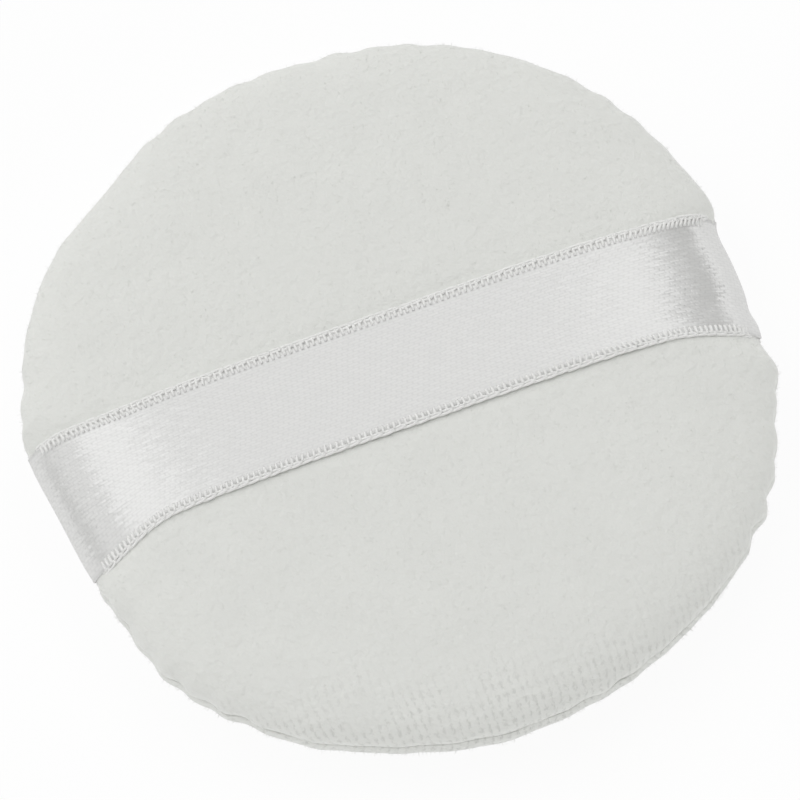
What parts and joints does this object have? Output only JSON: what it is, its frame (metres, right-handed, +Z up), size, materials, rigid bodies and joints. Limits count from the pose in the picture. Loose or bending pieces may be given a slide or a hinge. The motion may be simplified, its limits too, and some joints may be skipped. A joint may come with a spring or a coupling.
{
  "type": "powder puff",
  "caption": "Round velour powder puff with a sponge core, an overlocked rim seam and a satin ribbon across the top that holds the fingers.",
  "frame": {"origin": "middle of the flat that the puff rests on, under the middle of its overall box", "axes": "+Z up out of the ribbon side, X along the ribbon, Y across it"},
  "size_m": [0.0716, 0.0756, 0.0144],
  "materials": {
    "velour": "knitted cotton velour, short soft pile, off-white",
    "satin_ribbon": "woven polyester satin with looped selvedges, white",
    "sponge": "soft open-cell foam, cream",
    "sewing_thread": "spun polyester sewing thread, white"
  },
  "bodies": {
    "root": {"upper_cover": "velour", "lower_cover": "velour", "foam_core": "sponge", "ribbon_handle": "satin_ribbon", "needle_thread": "sewing_thread", "upper_looper_thread": "sewing_thread", "lower_looper_thread": "sewing_thread", "closing_thread": "sewing_thread"}
  },
  "joints": []
}
